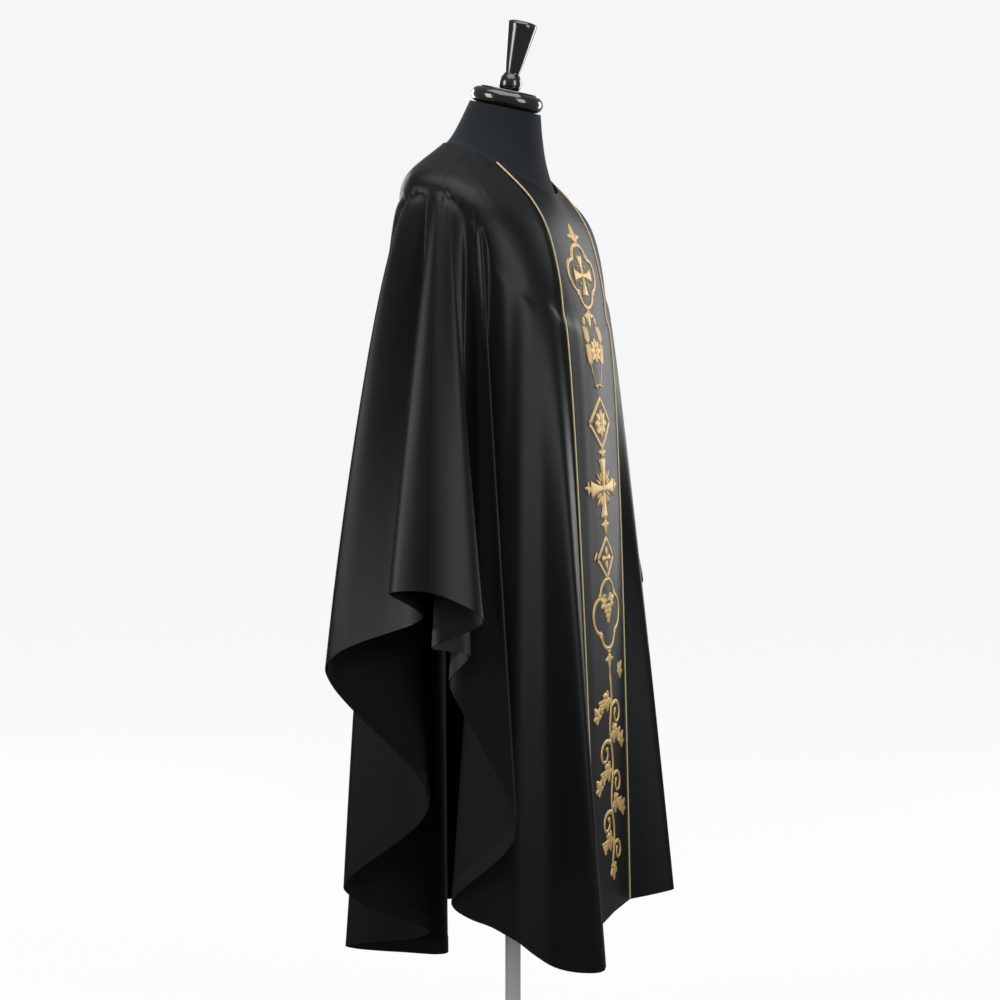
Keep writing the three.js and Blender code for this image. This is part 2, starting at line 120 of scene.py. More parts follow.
def through(places, values, place):
    """A smooth curve through values at uneven places."""
    last = len(places) - 1
    i = 0
    while i < last - 1 and place > places[i + 1]:
        i += 1

    def rate(a, b):
        return (values[b] - values[a]) / (places[b] - places[a])

    def slope(k):
        if k == 0:
            return rate(0, 1)
        if k == last:
            return rate(last - 1, last)
        return rate(k - 1, k) - rate(k - 1, k + 1) + rate(k, k + 1)

    width = places[i + 1] - places[i]
    t = (place - places[i]) / width
    rise = t * t * (3 - 2 * t)
    bend = width * t * (1 - t) * ((1 - t) * slope(i) - t * slope(i + 1))
    return values[i] * (1 - rise) + values[i + 1] * rise + bend


RING_PLACES = tuple(range(len(FORM_RINGS)))
RING_VALUES = {key: tuple(row[k + 1] for row in FORM_RINGS) for k, key in enumerate(RING_COLUMNS)}


@lru_cache(maxsize=None)
def ring_values(ring):
    return {key: through(RING_PLACES, values, ring) for key, values in RING_VALUES.items()}


def form_point(turn, ring):
    """A point of the form: turn in degrees from the front, and ring as a place in the list."""
    row = ring_values(round(ring, 5))
    c = math.cos(math.radians(turn))
    s = math.sin(math.radians(turn))

    def across(front, side, back):
        middle = (front + back) / 2
        return middle - (back - front) / 2 * c + (side - middle) * s * s

    middle = (row["frontY"] + row["backY"]) / 2
    fullness = 1 + row["chest" if c > 0 else "blade"] * (2 * s * c) ** 2
    return np.array((
        -row["sideX"] * s * fullness,
        middle + (across(row["frontY"], row["sideY"], row["backY"]) - middle) * fullness,
        across(row["frontZ"], row["sideZ"], row["backZ"]),
    ))


def unit(v):
    length = np.linalg.norm(v, axis=-1, keepdims=True)
    return v / np.maximum(length, 1e-9)


def form_normal(turn, ring):
    down = form_point(turn, ring + 0.02) - form_point(turn, ring - 0.02)
    around = form_point(turn + 0.5, ring) - form_point(turn - 0.5, ring)
    return unit(np.cross(around, down))


def on_form(turn, ring):
    return form_point(turn, ring) + form_normal(turn, ring) * (ON_FORM + CLOTH / 2)


def leaving_ring(turn, hem):
    ring = FIRST_LEAVING
    while ring < LAST_LEAVING and np.dot(hem - on_form(turn, ring), form_normal(turn, ring)) < 0:
        ring += 0.05
    return ring


def ring_of_folds():
    """The folds of both sides, in one ring: front, wearer's right, back, wearer's left."""
    rows = [dict(zip(("name",) + FOLD_COLUMNS, row)) for row in FOLDS]
    right = [{**row, "x": -row["x"]} for row in rows]
    left = [
        {**row, "neck": 360 - row["neck"], "leave": 360 - row["leave"],
         "y": row["leftY"], "z": row["leftZ"]}
        for row in reversed(rows[1:-1])
    ]
    return right + left + [{**right[0], "neck": 360, "leave": 360}]


def fold_gap(a, b):
    return math.hypot(a["x"] - b["x"], a["y"] - b["y"], a["z"] - b["z"])


def column(fold):
    """One column of the cloth, from the neckline down over the form and on to the hem."""
    hem = np.array((fold["x"], fold["y"], fold["z"]), float)
    leaving = leaving_ring(fold["leave"], hem)
    neck_reach = ring_values(NECKLINE)["sideX"]
    leave_reach = ring_values(round(leaving, 5))["sideX"]
    neck_x = neck_reach * math.sin(math.radians(fold["neck"]))
    leave_x = leave_reach * math.sin(math.radians(fold["leave"]))

    def ring_at(t):
        return NECKLINE + (leaving - NECKLINE) * t

    def turn_at(t):
        own = ring_values(round(ring_at(t), 5))["sideX"]
        along = (own - neck_reach) / (leave_reach - neck_reach)
        x = neck_x + (leave_x - neck_x) * along
        turn = math.degrees(math.asin(max(-1, min(1, x / own))))
        return turn if math.cos(math.radians(fold["leave"])) > 0 else 180 - turn

    points = [on_form(turn_at(t), ring_at(t)) for t in ON_FORM_STEPS]
    leave = points[-1]
    start = unit(leave - on_form(turn_at(0.97), ring_at(0.97))) * RAIL
    chord = hem - leave
    outward = unit(np.array((fold["x"], fold["y"], 0.0)))
    for i in range(1, FALL_STEPS + 1):
        t = (i / FALL_STEPS) ** FALL_CROWDING
        rise = t * t * (3 - 2 * t)
        point = leave + (hem - leave) * rise + start * t * (1 - t) ** 2 - chord * t * t * (1 - t)
        points.append(point + outward * fold["bow"] * math.sin(math.pi * t ** BOW_HEIGHT))
    return points


def cloth_grid():
    """All columns of the cloth, the same as the solids have, and the names of its folds."""
    folds = ring_of_folds()
    places = [0.0]
    for a, b in zip(folds, folds[1:]):
        places.append(places[-1] + math.sqrt(fold_gap(a, b)))
    columns = []
    names = []
    for i, (a, b) in enumerate(zip(folds, folds[1:])):
        neck_gap = b["neck"] - a["neck"]
        steps = max(2, int(fold_gap(a, b) / COLUMN_WIDTH + 0.5), math.ceil(neck_gap / COLUMN_TURN))
        for k in range(steps):
            part = k / steps
            place = places[i] + (places[i + 1] - places[i]) * part
            fold = {key: a[key] + (b[key] - a[key]) * part for key in ("neck", "leave")}
            for key in ("x", "y", "z", "bow"):
                fold[key] = through(places, [row[key] for row in folds], place)
            columns.append(column(fold))
            names.append(a["name"] if k == 0 else "")
    grid = np.array(columns)
    for _ in range(OPENING_PASSES):
        open_turns(grid)
    return grid, names


def open_turns(grid):
    """The cloth on both sides of a sharp turn is moved apart where it would lie too close."""
    count = len(grid)
    for level in range(len(ON_FORM_STEPS), grid.shape[1] - 1):
        for c in range(count):
            before, after = (c - 1) % count, (c + 1) % count
            arriving = unit(grid[c, level] - grid[before, level])
            going = unit(grid[after, level] - grid[c, level])
            onward = unit(grid[(c + 3) % count, level] - grid[(c - 3) % count, level])
            lack = OPEN_TURN - np.dot(grid[after, level] - grid[before, level], onward)
            if np.dot(arriving, going) < SHARP_TURN and lack > 0:
                grid[before, level] -= onward * lack / 2
                grid[after, level] += onward * lack / 2


def refine(grid, steps, closed):
    """Puts steps - 1 rows between each two rows of a grid, on smooth curves through them."""
    if closed:
        rows = np.concatenate((grid[-1:], grid, grid[:2]))
    else:
        rows = np.concatenate((2 * grid[:1] - grid[1:2], grid, 2 * grid[-1:] - grid[-2:-1]))
    width = np.sqrt(np.linalg.norm(np.diff(rows, axis=0), axis=-1, keepdims=True)) + 1e-6
    parts = []
    for i in range(1, len(rows) - 2):
        p0, p1, p2, p3 = rows[i - 1:i + 3]
        w0, w1, w2 = width[i - 1:i + 2]
        m1 = ((p1 - p0) / w0 - (p2 - p0) / (w0 + w1) + (p2 - p1) / w1) * w1
        m2 = ((p2 - p1) / w1 - (p3 - p1) / (w1 + w2) + (p3 - p2) / w2) * w1
        for k in range(steps):
            t = k / steps
            rise = t * t * (3 - 2 * t)
            parts.append(p1 + (p2 - p1) * rise + m1 * t * (1 - t) ** 2 - m2 * t * t * (1 - t))
    if not closed:
        parts.append(rows[-2])
    return np.array(parts)


def grid_normals(grid):
    """Outward directions of a closed ring of columns."""
    down = unit(np.gradient(grid, axis=1))
    before = np.roll(grid, 1, axis=0)
    after = np.roll(grid, -1, axis=0)

    def flat(v):
        return unit(v - down * np.sum(v * down, axis=-1, keepdims=True))

    return unit(np.cross(flat(grid - before) + flat(after - grid), down))


BAND_LIFT = 1.55  # middle of the band above the middle of the cloth
BAND_THICKNESS = 0.9
HEM_GAP = 0.45
RIPPLE_WAVES = 26
RIPPLE_HEIGHT = 3.2
SOFTENING = 45

ACROSS = 4  # fine columns in one column of the solids
ALONG = 8  # fine levels in one level of the solids


def drape_noise(count, levels, seed):
    """Low ripples that run down the cloth, so that its sheen breaks up as satin's does."""
    draw = random.Random(seed)
    place = np.arange(count)[:, None] / count
    fall = np.linspace(0, 1, levels)[None, :]
    total = np.zeros((count, levels))
    for _ in range(RIPPLE_WAVES):
        waves = draw.randint(9, 46)
        phase = draw.uniform(0, 2 * math.pi)
        lean = draw.uniform(-2.2, 2.2)
        slow = draw.uniform(0.5, 2.2)
        slow_phase = draw.uniform(0, 2 * math.pi)
        size = draw.uniform(0.4, 1.0) / math.sqrt(waves)
        wave = np.sin(2 * math.pi * waves * place + phase + lean * fall * 2)
        total += size * wave * (0.6 + 0.4 * np.sin(2 * math.pi * slow * fall + slow_phase))
    return total


def soften(grid, first):
    """Takes the sharpness out of the cloth where its folds begin to fall."""
    level = np.arange(grid.shape[1])
    weight = np.clip((level - first + 14) / 8, 0, 1) * np.clip((first + 52 - level) / 30, 0, 1)
    for _ in range(SOFTENING):
        for pull in (0.5, -0.51):
            beside = (np.roll(grid, 1, axis=0) + np.roll(grid, -1, axis=0)) / 2
            along = grid.copy()
            along[:, 1:-1] = (grid[:, :-2] + grid[:, 2:]) / 2
            grid = grid + ((beside + along) / 2 - grid) * pull * weight[None, :, None]
    return grid


class Drape:
    """The fine surface of the whole garment, worked out once and used by every cloth piece."""

    def __init__(self):
        coarse, names = cloth_grid()
        self.names = names
        fine = refine(coarse, ACROSS, True)
        fine = np.swapaxes(refine(np.swapaxes(fine, 0, 1), ALONG, False), 0, 1)
        self.on_form = (len(ON_FORM_STEPS) - 1) * ALONG
        fine = soften(fine, self.on_form)
        count, levels = fine.shape[:2]
        normals = grid_normals(fine)
        ripple = drape_noise(count, levels, 11)
        free = np.clip((np.arange(levels) - self.on_form * 0.75) / (levels * 0.35), 0, 1)[None, :]
        ripple = ripple * free * RIPPLE_HEIGHT
        first, last = self.span("orphrey edge")
        for c in range(count):
            gap = min((c - last) % count, (first - c) % count) if not self.inside(c, first, last) else 0
            ripple[c] *= min(1.0, gap / (5.0 * ACROSS))
        fine = fine + normals * ripple[:, :, None]
        self.grid = fine
        self.normals = grid_normals(fine)
        self.count = count
        self.levels = levels
        step = np.linalg.norm(np.diff(fine, axis=1), axis=-1)
        self.length = np.concatenate((np.zeros((count, 1)), np.cumsum(step, axis=1)), axis=1)
        hem_step = np.linalg.norm(np.roll(fine[:, -1], -1, axis=0) - fine[:, -1], axis=-1)
        self.around = np.concatenate(([0], np.cumsum(hem_step)[:-1]))

    def place(self, name):
        """Fine columns of the two folds of that name: the wearer's right, then left."""
        return [c * ACROSS for c, own in enumerate(self.names) if own == name]

    def span(self, name):
        """From the left fold of that name round the front to the right one."""
        right, left = self.place(name)
        return left, right

    @staticmethod
    def inside(c, first, last):
        return c >= first or c <= last

    def columns(self, first, last):
        """Places of the columns from first to last, round the ring."""
        end = last if last >= first else last + self.count
        return [c % self.count for c in range(first, end + 1)]


def new_mesh(name, points, faces, slots=(), face_slots=None, uvs=None):
    """A mesh object at the origin, from points in millimetres."""
    mesh = bpy.data.meshes.new(name)
    mesh.from_pydata([tuple(p) for p in np.asarray(points) * MM], [], faces)
    piece = bpy.data.objects.new(name, mesh)
    bpy.context.scene.collection.objects.link(piece)
    for material in slots:
        mesh.materials.append(material)
    if face_slots is not None:
        mesh.polygons.foreach_set("material_index", face_slots)
    if uvs is not None:
        layer = mesh.uv_layers.new(name="UVMap")
        loops = np.empty(len(mesh.loops), dtype=np.int64)
        mesh.loops.foreach_get("vertex_index", loops)
        layer.data.foreach_set("uv", np.asarray(uvs, dtype=np.float32)[loops].ravel())
    mesh.polygons.foreach_set("use_smooth", [True] * len(mesh.polygons))
    mesh.update()
    return piece


def settle(piece, slot, *nodes):
    """The piece rides on the body and stands for the nodes; the slot argument is not used."""
    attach(piece, "root")
    if nodes:
        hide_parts(*nodes)
    return piece


def shell(name, grid, normals, uv, thickness, outside, inside):
    """A thin closed wall on a grid of columns, with its own material inside."""
    width, height = grid.shape[:2]
    points = np.concatenate((
        (grid + normals * thickness / 2).reshape(-1, 3),
        (grid - normals * thickness / 2).reshape(-1, 3),
    ))
    inner = width * height
    faces = []
    slots = []
    for c in range(width - 1):
        base = c * height
        for level in range(height - 1):
            a = base + level
            b = a + height
            faces.append((a, b, b + 1, a + 1))
            faces.append((inner + a, inner + a + 1, inner + b + 1, inner + b))
            slots += [0, 1]
        faces.append((base + height, base, inner + base, inner + base + height))
        last = base + height - 1
        faces.append((last, last + height, inner + last + height, inner + last))
        slots += [0, 0]
    for level in range(height - 1):
        end = (width - 1) * height + level
        faces.append((level, level + 1, inner + level + 1, inner + level))
        faces.append((end + 1, end, inner + end, inner + end + 1))
        slots += [0, 0]
    uvs = np.concatenate((uv.reshape(-1, 2), uv.reshape(-1, 2)))
    piece = new_mesh(name, points, faces, (outside, inside), slots, uvs)
    only(piece)
    bpy.ops.object.shade_smooth_by_angle(angle=math.radians(40))
    return piece


def tube_faces(rings, sides, first=0):
    """Faces of a closed tube: its sides, then its two ends."""
    faces = []
    for i in range(rings - 1):
        for k in range(sides):
            a, b = first + i * sides + k, first + i * sides + (k + 1) % sides
            faces.append((a, b, b + sides, a + sides))
    end = first + (rings - 1) * sides
    faces.append(tuple(range(first + sides - 1, first - 1, -1)))
    faces.append(tuple(range(end, end + sides)))
    return faces


# Materials

def shader(name, color, roughness, sockets):
    """A material with one Principled shader whose plain values sit on its own sockets."""
    material = bpy.data.materials.new(name)
    material.use_nodes = True
    bsdf = material.node_tree.nodes["Principled BSDF"]
    bsdf.inputs["Base Color"].default_value = (*color, 1)
    bsdf.inputs["Roughness"].default_value = roughness
    for key, value in sockets.items():
        bsdf.inputs[key].default_value = value
    return material, material.node_tree, bsdf


def node(tree, kind, **values):
    made = tree.nodes.new(kind)
    for key, value in values.items():
        if hasattr(made, key):
            setattr(made, key, value)
        else:
            made.inputs[key.replace("_", " ")].default_value = value
    return made


def new_group(name, numbers, colors, outputs):
    """An empty node group with its sockets, and its input and output nodes."""
    group = bpy.data.node_groups.new(name, "ShaderNodeTree")
    sides = group.interface
    sides.new_socket("Vector", in_out="INPUT", socket_type="NodeSocketVector")
    for key, value in numbers:
        sides.new_socket(key, in_out="INPUT", socket_type="NodeSocketFloat").default_value = value
    for key in colors:
        sides.new_socket(key, in_out="INPUT", socket_type="NodeSocketColor")
    for key, kind in outputs:
        sides.new_socket(key, in_out="OUTPUT", socket_type=kind)
    return group, node(group, "NodeGroupInput"), node(group, "NodeGroupOutput")


@lru_cache(maxsize=None)
def tone_group():
    """Colour and roughness that wander slowly, with fine grain: for cloth, wood and metal."""
    group, into, out = new_group(
        "Wandering tone", (("Scale", 10.0), ("Low", 0.3), ("High", 0.5)), ("Dark", "Light"),
        (("Color", "NodeSocketColor"), ("Roughness", "NodeSocketFloat")))
    noise = node(group, "ShaderNodeTexNoise", Detail=4.0, Roughness=0.6)
    mix = node(group, "ShaderNodeMix", data_type="RGBA")
    spread = node(group, "ShaderNodeMapRange")
    link = group.links.new
    link(into.outputs["Vector"], noise.inputs["Vector"])
    link(into.outputs["Scale"], noise.inputs["Scale"])
    link(noise.outputs["Fac"], mix.inputs[0])
    link(into.outputs["Dark"], mix.inputs[6])
    link(into.outputs["Light"], mix.inputs[7])
    link(noise.outputs["Fac"], spread.inputs["Value"])
    link(into.outputs["Low"], spread.inputs["To Min"])
    link(into.outputs["High"], spread.inputs["To Max"])
    link(mix.outputs[2], out.inputs["Color"])
    link(spread.outputs["Result"], out.inputs["Roughness"])
    return group


@lru_cache(maxsize=None)
def threads_group():
    """A bump of fine threads that run along one way of the surface, with slack ones among them."""
    numbers = (("Threads", 1500.0), ("Cross threads", 500.0), ("Depth", 0.1), ("Height", 0.0002))
    group, into, out = new_group("Threads", numbers, (), (("Normal", "NodeSocketVector"),))
    scale = node(group, "ShaderNodeCombineXYZ")
    grain = node(group, "ShaderNodeVectorMath", operation="MULTIPLY")
    noise = node(group, "ShaderNodeTexNoise", Scale=1.0, Detail=3.0)
    bump = node(group, "ShaderNodeBump")
    link = group.links.new
    link(into.outputs["Threads"], scale.inputs["X"])
    link(into.outputs["Cross threads"], scale.inputs["Y"])
    link(into.outputs["Cross threads"], scale.inputs["Z"])
    link(into.outputs["Vector"], grain.inputs[0])
    link(scale.outputs[0], grain.inputs[1])
    link(grain.outputs[0], noise.inputs["Vector"])
    link(noise.outputs["Fac"], bump.inputs["Height"])
    link(into.outputs["Depth"], bump.inputs["Strength"])
    link(into.outputs["Height"], bump.inputs["Distance"])
    link(bump.outputs["Normal"], out.inputs["Normal"])
    return group


TONE_KEYS = ("Scale", "Low", "High", "Dark", "Light")
THREAD_KEYS = ("Threads", "Cross threads", "Depth", "Height")


def dress(tree, bsdf, coordinates, tone, threads):
    """Links the two shared effects to a shader. coordinates is UV or Object."""
    place = node(tree, "ShaderNodeTexCoord")
    link = tree.links.new
    wander = node(tree, "ShaderNodeGroup", node_tree=tone_group())
    for key, value in zip(TONE_KEYS, tone):
        wander.inputs[key].default_value = (*value, 1) if isinstance(value, tuple) else value
    link(place.outputs["Object"], wander.inputs["Vector"])
    link(wander.outputs["Color"], bsdf.inputs["Base Color"])
    link(wander.outputs["Roughness"], bsdf.inputs["Roughness"])
    weave = node(tree, "ShaderNodeGroup", node_tree=threads_group())
    for key, value in zip(THREAD_KEYS, threads):
        weave.inputs[key].default_value = value
    link(place.outputs[coordinates], weave.inputs["Vector"])
    link(weave.outputs["Normal"], bsdf.inputs["Normal"])


def tinted(color, share):
    return tuple(c * share for c in color)


def looks():
    """Title, colour, roughness, sockets and coordinates of each material, its tone and its threads."""
    own = bpy.context.scene.chasuble
    satin, gold = tuple(own.satin_color), tuple(own.gold_color)
    jersey, metal = tuple(own.jersey_color), tuple(own.metal_color)
    inside = tinted(satin, 0.55)
    bright = tuple(min(1.0, c * 1.25) for c in gold)
    deep = tinted(gold, 0.4)
    pale = tuple(min(1.0, c * share) for c, share in zip(gold, (1.08, 1.28, 2.0)))
    black = (0.006, 0.006, 0.006)
    return {
        "satin": (
            "Black satin", satin, 0.42,
            {"Specular IOR Level": 0.17, "Sheen Weight": 0.04, "Sheen Roughness": 0.35},
            "UV", (7.0, 0.36, 0.48, inside, satin), (2600.0, 240.0, 0.12, 0.0001)),
        "satin inside": (
            "Satin from inside", inside, 0.62, {"Specular IOR Level": 0.14},
            "UV", (9.0, 0.56, 0.7, inside, satin), (1500.0, 1500.0, 0.2, 0.0001)),
        "gold stitch": (
            "Gold satin stitch", gold, 0.38, {"Metallic": 0.45, "Specular IOR Level": 0.6},
            "UV", (160.0, 0.3, 0.5, tinted(gold, 0.62), bright), (2400.0, 60.0, 0.7, 0.0003)),
        "dark gold stitch": (
            "Dark gold outline", deep, 0.5, {"Metallic": 0.35},
            "UV", (200.0, 0.42, 0.6, tinted(gold, 0.25), deep), (1800.0, 60.0, 0.7, 0.0003)),
        "gold cord": (
            "Pale gold cord", pale, 0.42, {"Metallic": 0.3},
            "UV", (220.0, 0.36, 0.54, tinted(pale, 0.7), pale), (900.0, 3.0, 0.5, 0.0003)),
        "jersey": (
            "Charcoal jersey", jersey, 0.95,
            {"Specular IOR Level": 0.12, "Sheen Weight": 0.06, "Sheen Roughness": 0.6},
            "Object", (12.0, 0.86, 1.0, tinted(jersey, 0.8), jersey), (1400.0, 900.0, 0.5, 0.0002)),
        "lacquer": (
            "Black lacquered wood", black, 0.16, {"Coat Weight": 0.6, "Coat Roughness": 0.06},
            "Object", (30.0, 0.13, 0.24, (0.004, 0.004, 0.004), (0.012, 0.011, 0.010)),
            (40.0, 260.0, 0.05, 0.0002)),
        "metal": (
            "Satin metal", metal, 0.34, {"Metallic": 0.35},
            "Object", (25.0, 0.28, 0.42, tinted(metal, 0.88), metal), (900.0, 30.0, 0.06, 0.0001)),
    }


@lru_cache(maxsize=None)
def material_named(name):
    title, color, roughness, sockets, coordinates, tone, threads = looks()[name]
    material, tree, bsdf = shader(title, color, roughness, sockets)
    dress(tree, bsdf, coordinates, tone, threads)
    return material


# Cloth pieces

@lru_cache(maxsize=None)
def drape():
    return Drape()


def cloth_uv(cloth, places):
    return np.stack(np.broadcast_arrays(
        cloth.around[places][:, None] * MM, cloth.length[places] * MM), axis=-1)


def hem_strip(cloth, places, width, lift, name):
    """The turned hem, a strip of cloth sewn to the inside along the edge."""
    rows = 5
    points = np.zeros((len(places), rows, 3))
    directions = np.zeros_like(points)
    for k, c in enumerate(places):
        length = cloth.length[c]
        for row in range(rows):
            at = length[-1] - width * (1 - row / (rows - 1)) - 0.6
            for axis in range(3):
                points[k, row, axis] = np.interp(at, length, cloth.grid[c, :, axis])
                directions[k, row, axis] = np.interp(at, length, cloth.normals[c, :, axis])
    directions = unit(directions)
    points = points - directions * lift
    uv = np.stack(np.broadcast_arrays(
        cloth.around[places][:, None] * MM, np.arange(rows)[None, :] * width * MM / (rows - 1)), axis=-1)
    outside, inside = material_named("satin inside"), material_named("satin")
    piece = shell(name, points, directions, uv, 0.6, outside, inside)
    return settle(piece, "satin")


def draw_in(grid, edge, neighbour, distance):
    way = unit(grid[neighbour] - grid[edge])
    grid[edge] = grid[edge] + way * distance


class Sizes(bpy.types.PropertyGroup):
    """Sizes and colours of the chasuble and its stand."""
    cloth_thickness: bpy.props.FloatProperty(
        name="Cloth thickness", description="Thickness of a satin panel",
        default=0.0010, min=0.0004, max=0.0015, unit="LENGTH")
    hem_width: bpy.props.FloatProperty(
        name="Hem width", description="Width of the turned hem inside the edge",
        default=0.024, min=0.01, max=0.05, unit="LENGTH")
    cord_radius: bpy.props.FloatProperty(
        name="Cord radius", description="Radius of the gold cords along the orphrey",
        default=0.0017, min=0.001, max=0.002, unit="LENGTH")
    stitch_height: bpy.props.FloatProperty(
        name="Embroidery height", description="How far the gold stitching stands above the orphrey",
        default=0.0013, min=0.0005, max=0.003, unit="LENGTH")
    satin_color: bpy.props.FloatVectorProperty(
        name="Satin", description="Colour of the satin", subtype="COLOR", size=3,
        default=(0.0036, 0.0043, 0.0056), min=0, max=1)
    gold_color: bpy.props.FloatVectorProperty(
        name="Gold thread", description="Colour of the embroidery", subtype="COLOR", size=3,
        default=(0.60, 0.41, 0.16), min=0, max=1)
    jersey_color: bpy.props.FloatVectorProperty(
        name="Jersey", description="Colour of the form's cover", subtype="COLOR", size=3,
        default=(0.011, 0.014, 0.017), min=0, max=1)
    metal_color: bpy.props.FloatVectorProperty(
        name="Metal", description="Colour of the pole and base", subtype="COLOR", size=3,
        default=(0.55, 0.56, 0.53), min=0, max=1)


class DrapeCloth(bpy.types.Operator):
    """Front and back panels, sewn together at the shoulders, with their turned hems"""
    bl_idname = "chasuble.drape_cloth"
    bl_label = "Drape the cloth"

    def execute(self, context):
        look = context.scene.chasuble
        cloth = drape()
        right, left = cloth.place("shoulder seam")
        thickness = look.cloth_thickness / MM
        satin, inside = material_named("satin"), material_named("satin inside")
        for name, first, last, flat in (
            ("front_cloth", left, right, (1.62, 1.24)), ("back_cloth", right, left, (1.62, 1.36)),
        ):
            places = cloth.columns(first, last)
            grid = cloth.grid[places].copy()
            draw_in(grid, 0, 1, 0.2)
            draw_in(grid, -1, -2, 0.2)
            uv = cloth_uv(cloth, places)
            piece = shell(name, grid, cloth.normals[places], uv, thickness, satin, inside)
            settle(piece, "satin", name.replace("cloth", "panel"))
            lift = thickness / 2 + HEM_GAP
            hem = hem_strip(cloth, places, look.hem_width / MM, lift, name.replace("cloth", "hem"))
        return {"FINISHED"}


def band_columns(cloth, name="band edge"):
    left, right = cloth.span(name)
    return cloth.columns(left, right)


class LayOrphrey(bpy.types.Operator):
    """The satin band down the front and the twisted gold cord along each side of it"""
    bl_idname = "chasuble.lay_orphrey"
    bl_label = "Lay the orphrey"

    def execute(self, context):
        look = context.scene.chasuble
        cloth = drape()
        places = band_columns(cloth)
        grid = cloth.grid[places] + cloth.normals[places] * BAND_LIFT
        piece = shell("orphrey", grid, cloth.normals[places], cloth_uv(cloth, places), BAND_THICKNESS,
                      material_named("satin"), material_named("satin inside"))
        settle(piece, "band", "orphrey_band")
        for side, c in zip(("right", "left"), cloth.place("orphrey edge")):
            cord = twisted_cord(f"cord_{side}", cloth, c, look.cord_radius / MM)
            settle(cord, "gold_cord", f"piping_{side}")
        return {"FINISHED"}


def twisted_cord(name, cloth, c, radius):
    """A cord of two strands, wound round each other, along one column of the cloth."""
    length = cloth.length[c]
    pitch = 5.0
    step = 1.1
    sides = 10
    count = int(length[-1] / step)
    ats = np.linspace(0.4, length[-1] - 0.4, count)
    path = np.stack([np.interp(ats, length, cloth.grid[c, :, k]) for k in range(3)], axis=-1)
    out = unit(np.stack([np.interp(ats, length, cloth.normals[c, :, k]) for k in range(3)], axis=-1))
    down = unit(np.gradient(path, axis=0))
    across = unit(np.cross(down, out))
    path = path + out * (CLOTH / 2 + 0.3 + radius)
    turns = 2 * np.pi * np.arange(sides) / sides
    wind = 2 * np.pi * ats / pitch / 2
    swell = 0.88 + 0.12 * np.cos(2 * (turns[None, :] - wind[:, None]))
    ring = out[:, None, :] * np.cos(turns)[None, :, None] + across[:, None, :] * np.sin(turns)[None, :, None]
    points = (path[:, None, :] + ring * (radius * swell)[:, :, None]).reshape(-1, 3)
    uv = np.stack(np.broadcast_arrays(ats[:, None] * MM, turns[None, :] * radius * MM), axis=-1)
    uv = uv.reshape(-1, 2)
    return new_mesh(name, points, tube_faces(count, sides), (material_named("gold cord"),), None, uv)


# Embroidery. A stroke is a padded line of satin stitch on the band: points across and down the
# band in millimetres, a half width at each point, and whether it is an outline.

BOLD = 1.4


def winding(x, y, turns, length):
    """A line of even steps from a root, that follows turns in degrees."""
    headings = np.radians(turns)
    steps = np.stack((np.cos(headings), np.sin(headings)), axis=-1) * length / (len(turns) - 1)
    return np.array((x, y)) + np.concatenate(([[0, 0]], np.cumsum(steps, axis=0)[:-1]))


class Pattern:
    """Strokes of a design, gathered before they are laid on the band."""

    def __init__(self):
        self.strokes = []

    def line(self, points, widths, dark=False, height=1.0):
        points = np.array(points, float)
        widths = np.broadcast_to(np.asarray(widths, float), (len(points),)).copy()
        self.strokes.append((points, widths, dark, height))

    def both(self, points, widths, dark=False, height=1.0):
        """The stroke and its mirror image across the band."""
        self.line(points, widths, dark, height)
        self.line(np.array(points, float) * (-1, 1), widths, dark, height)

    def arc(self, middle, radius, start, end, width, dark=False):
        turns = np.radians(np.linspace(start, end, max(6, int(abs(end - start) * radius / 150))))
        points = [(middle[0] + radius * math.cos(a), middle[1] + radius * math.sin(a)) for a in turns]
        self.line(points, width, dark)

    def dot(self, x, y, radius):
        reach = np.linspace(-0.98, 0.98, 8)
        widths = radius * 1.15 * np.sqrt(1 - reach ** 2) + 0.1
        self.line([(x, y + radius * r) for r in reach], widths, height=1.3)

    def leaf(self, x, y, turn, length, width, bend=0.0, vein=False):
        """A petal from its root, towards turn in degrees (0 is across, 90 is down), curling by bend."""
        t = np.linspace(0, 1, 11)
        points = winding(x, y, turn + bend * t, length)
        widths = width * BOLD * np.sin(np.pi * np.clip(t * 0.93 + 0.05, 0, 1)) ** 0.8 + 0.2
        self.line(points, widths)
        if vein:
            self.line(points[1:-2], 0.35, True, 1.7)

    def scroll(self, x, y, turn, length, curl, width):
        """A tendril that winds tighter and tighter and ends in a bud."""
        t = np.linspace(0, 1, 26)
        points = winding(x, y, turn + curl * t ** 1.6, length)
        self.line(points, width * BOLD * (1 - 0.5 * t))
        self.dot(points[-1][0], points[-1][1], width * 1.35)


def quatrefoil(pattern, y, spread, radius, width):
    """Four lobes that meet in corners, with a fine dark line along them."""
    meet = (spread + math.sqrt(2 * radius ** 2 - spread ** 2)) / 2
    half = math.degrees(math.atan2(meet, meet - spread))
    for k in range(4):
        turn = math.radians(90 * k)
        middle = (spread * math.cos(turn), y + spread * math.sin(turn))
        pattern.arc(middle, radius, 90 * k - half, 90 * k + half, width)
        pattern.arc(middle, radius - width - 1.0, 90 * k - half, 90 * k + half, 0.4, True)
        tip = 45 + 90 * k
        corner = math.radians(tip)
        reach = math.hypot(meet, meet)
        pattern.leaf(reach * math.cos(corner), y + reach * math.sin(corner), tip, 9, 2.2)


